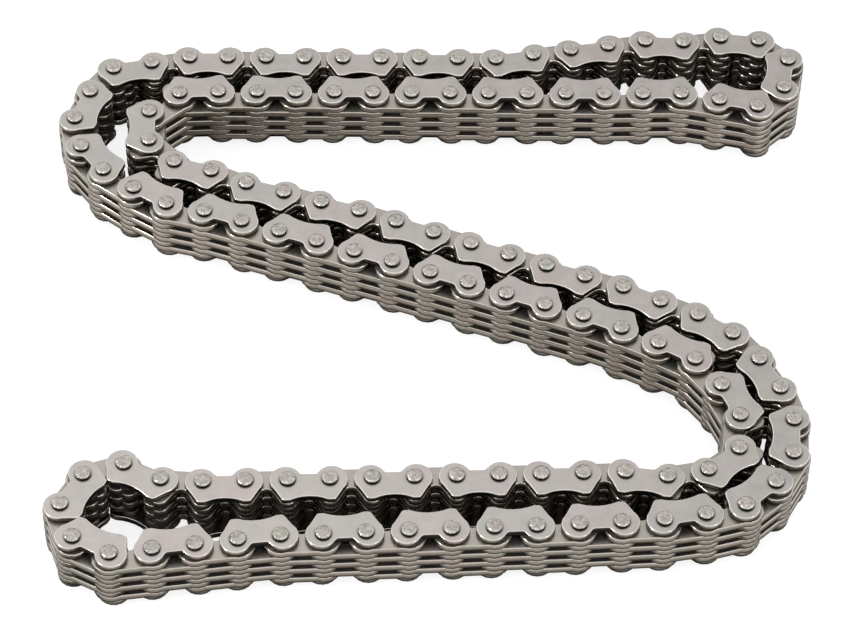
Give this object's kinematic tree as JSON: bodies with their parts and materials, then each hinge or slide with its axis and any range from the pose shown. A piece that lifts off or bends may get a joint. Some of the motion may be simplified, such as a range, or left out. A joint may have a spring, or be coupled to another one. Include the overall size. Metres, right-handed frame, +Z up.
{
  "type": "timing chain",
  "caption": "Endless inverted-tooth timing chain of steel plates on riveted pins, folded into a flat Z with double strands, its loop closed.",
  "frame": {"origin": "bottom centre of the bounding box, on the surface that the lower riveted pin ends stand on", "axes": "+X to the right along the strands, +Y to the rear, +Z up along the pins"},
  "size_m": [0.1228, 0.1134, 0.0111],
  "materials": {
    "guide_plate_steel": "satin, tumbled edges",
    "link_plate_steel": "satin, tumbled edges",
    "toothed_plate_steel": "satin, faint straw tint on the cut edges",
    "pin_steel": "bright riveted ends"
  },
  "bodies": {
    "middle_strands": {"middle_rear_guide_plates": "guide_plate_steel", "middle_rear_toothed_plates": "toothed_plate_steel", "middle_rear_pins": "pin_steel", "middle_front_guide_plates": "guide_plate_steel", "middle_front_toothed_plates": "toothed_plate_steel", "middle_front_pins": "pin_steel", "left_inner_fold_link_3_plates": "toothed_plate_steel", "left_inner_fold_link_2_plates": "link_plate_steel", "left_inner_fold_link_2_pins": "pin_steel", "right_inner_fold_link_4_plates": "toothed_plate_steel", "right_inner_fold_link_3_plates": "link_plate_steel", "right_inner_fold_link_3_pins": "pin_steel"},
    "rear_strands": {"left_inner_fold_link_1_plates": "toothed_plate_steel", "rear_inner_guide_plates": "guide_plate_steel", "rear_inner_toothed_plates": "toothed_plate_steel", "rear_inner_pins": "pin_steel", "rear_hairpin_link_4_plates": "toothed_plate_steel", "rear_hairpin_link_3_plates": "link_plate_steel", "rear_hairpin_link_3_pins": "pin_steel", "rear_hairpin_link_2_plates": "toothed_plate_steel", "rear_hairpin_link_1_plates": "link_plate_steel", "rear_hairpin_link_1_pins": "pin_steel", "rear_outer_guide_plates": "guide_plate_steel", "rear_outer_toothed_plates": "toothed_plate_steel", "rear_outer_pins": "pin_steel"},
    "left_outer_fold_link_4": {"left_outer_fold_link_4_plates": "toothed_plate_steel"},
    "left_outer_fold_link_3": {"left_outer_fold_link_3_plates": "link_plate_steel", "left_outer_fold_link_3_pins": "pin_steel"},
    "left_outer_fold_link_2": {"left_outer_fold_link_2_plates": "toothed_plate_steel"},
    "left_outer_fold_link_1": {"left_outer_fold_link_1_plates": "link_plate_steel", "left_outer_fold_link_1_pins": "pin_steel"},
    "front_strands": {"front_outer_guide_plates": "guide_plate_steel", "front_outer_toothed_plates": "toothed_plate_steel", "front_outer_pins": "pin_steel", "front_hairpin_link_1_plates": "link_plate_steel", "front_hairpin_link_1_pins": "pin_steel", "front_hairpin_link_2_plates": "toothed_plate_steel", "front_hairpin_link_3_plates": "link_plate_steel", "front_hairpin_link_3_pins": "pin_steel", "front_hairpin_link_4_plates": "toothed_plate_steel", "front_hairpin_link_5_plates": "link_plate_steel", "front_hairpin_link_5_pins": "pin_steel", "front_inner_guide_plates": "guide_plate_steel", "front_inner_toothed_plates": "toothed_plate_steel", "front_inner_pins": "pin_steel", "right_inner_fold_link_1_plates": "link_plate_steel", "right_inner_fold_link_1_pins": "pin_steel", "right_inner_fold_link_2_plates": "toothed_plate_steel"},
    "right_outer_fold_link_1": {"right_outer_fold_link_1_plates": "toothed_plate_steel"},
    "right_outer_fold_link_2": {"right_outer_fold_link_2_plates": "link_plate_steel", "right_outer_fold_link_2_pins": "pin_steel"},
    "right_outer_fold_link_3": {"right_outer_fold_link_3_plates": "toothed_plate_steel"},
    "right_outer_fold_link_4": {"right_outer_fold_link_4_plates": "link_plate_steel", "right_outer_fold_link_4_pins": "pin_steel"},
    "right_outer_fold_link_5": {"right_outer_fold_link_5_plates": "toothed_plate_steel"},
    "right_outer_fold_link_6": {"right_outer_fold_link_6_plates": "link_plate_steel", "right_outer_fold_link_6_pins": "pin_steel"}
  },
  "joints": [
    {"name": "left_fold_swing", "type": "hinge", "parent": "middle_strands", "child": "rear_strands", "pos_m": [-0.0466, 0.03472, 0.00558], "axis": [0, 0, 1], "range_deg": [0, 30]},
    {"name": "left_outer_fold_link_4_pivot", "type": "hinge", "parent": "rear_strands", "child": "left_outer_fold_link_4", "pos_m": [-0.05309, 0.04423, 0.00558], "axis": [0, 0, 1], "range_deg": [-37.2, 0]},
    {"name": "left_outer_fold_link_3_pivot", "type": "hinge", "parent": "left_outer_fold_link_4", "child": "left_outer_fold_link_3", "pos_m": [-0.05657, 0.03892, 0.00558], "axis": [0, 0, 1], "range_deg": [0, 11.3]},
    {"name": "left_outer_fold_link_2_pivot", "type": "hinge", "parent": "left_outer_fold_link_3", "child": "left_outer_fold_link_2", "pos_m": [-0.05864, 0.03292, 0.00558], "axis": [0, 0, 1], "range_deg": [0, 14.3]},
    {"name": "left_outer_fold_link_1_pivot", "type": "hinge", "parent": "left_outer_fold_link_2", "child": "left_outer_fold_link_1", "pos_m": [-0.05711, 0.02676, 0.00558], "axis": [0, 0, 1], "range_deg": [0, 18.8]},
    {"name": "right_fold_swing", "type": "hinge", "parent": "middle_strands", "child": "front_strands", "pos_m": [0.04744, -0.02586, 0.00558], "axis": [0, 0, 1], "range_deg": [0, 30]},
    {"name": "right_outer_fold_link_1_pivot", "type": "hinge", "parent": "middle_strands", "child": "right_outer_fold_link_1", "pos_m": [0.04695, -0.00979, 0.00558], "axis": [0, 0, 1], "range_deg": [0, 24.65]},
    {"name": "right_outer_fold_link_2_pivot", "type": "hinge", "parent": "right_outer_fold_link_1", "child": "right_outer_fold_link_2", "pos_m": [0.05086, -0.01479, 0.00558], "axis": [0, 0, 1], "range_deg": [0, 9.05]},
    {"name": "right_outer_fold_link_3_pivot", "type": "hinge", "parent": "right_outer_fold_link_2", "child": "right_outer_fold_link_3", "pos_m": [0.05384, -0.0204, 0.00558], "axis": [0, 0, 1], "range_deg": [-33.05, 0]},
    {"name": "right_outer_fold_link_4_pivot", "type": "hinge", "parent": "right_outer_fold_link_3", "child": "right_outer_fold_link_4", "pos_m": [0.05559, -0.0265, 0.00558], "axis": [0, 0, 1], "range_deg": [-4.85, 0]},
    {"name": "right_outer_fold_link_5_pivot", "type": "hinge", "parent": "right_outer_fold_link_4", "child": "right_outer_fold_link_5", "pos_m": [0.05526, -0.03284, 0.00558], "axis": [0, 0, 1], "range_deg": [0, 18]},
    {"name": "right_outer_fold_link_6_pivot", "type": "hinge", "parent": "right_outer_fold_link_5", "child": "right_outer_fold_link_6", "pos_m": [0.05228, -0.03845, 0.00558], "axis": [0, 0, 1], "range_deg": [0, 19.1]}
  ],
  "couplings": [
    {"joint": "left_outer_fold_link_4_pivot", "follows": "left_fold_swing", "ratio": -1.2397},
    {"joint": "left_outer_fold_link_3_pivot", "follows": "left_fold_swing", "ratio": 0.37644},
    {"joint": "left_outer_fold_link_2_pivot", "follows": "left_fold_swing", "ratio": 0.47586},
    {"joint": "left_outer_fold_link_1_pivot", "follows": "left_fold_swing", "ratio": 0.62574},
    {"joint": "right_outer_fold_link_1_pivot", "follows": "right_fold_swing", "ratio": 0.82083},
    {"joint": "right_outer_fold_link_2_pivot", "follows": "right_fold_swing", "ratio": 0.3003},
    {"joint": "right_outer_fold_link_3_pivot", "follows": "right_fold_swing", "ratio": -1.101},
    {"joint": "right_outer_fold_link_4_pivot", "follows": "right_fold_swing", "ratio": -0.16124},
    {"joint": "right_outer_fold_link_5_pivot", "follows": "right_fold_swing", "ratio": 0.59866},
    {"joint": "right_outer_fold_link_6_pivot", "follows": "right_fold_swing", "ratio": 0.63626}
  ]
}
